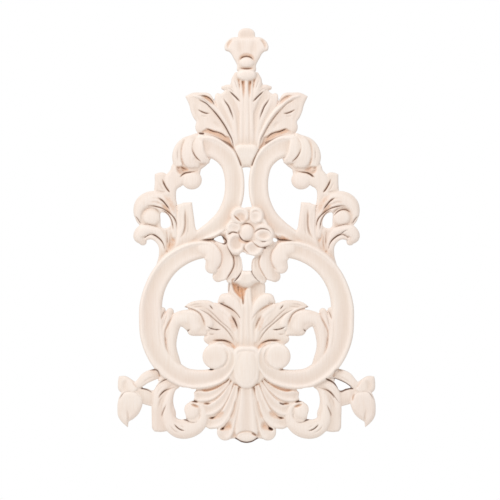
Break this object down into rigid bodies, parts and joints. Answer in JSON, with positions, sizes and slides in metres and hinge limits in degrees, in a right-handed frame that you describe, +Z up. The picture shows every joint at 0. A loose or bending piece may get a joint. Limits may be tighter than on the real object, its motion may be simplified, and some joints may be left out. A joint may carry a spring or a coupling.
{
  "type": "carved wood onlay",
  "caption": "Pierced carved wood onlay: lily bud, acanthus leaves, C-scrolls, flower and shell, flat at the back for fixing.",
  "frame": {"origin": "on the flat back, behind the flower", "axes": "+Y out of the back, into what the onlay is fixed to; +Z up towards the lily bud; -Y is the carved face; +X to the right of someone facing the carving"},
  "size_m": [0.1864, 0.0155, 0.2996],
  "materials": {
    "carved_wood": "satin"
  },
  "bodies": {
    "root": {"onlay": "carved_wood"}
  },
  "joints": []
}
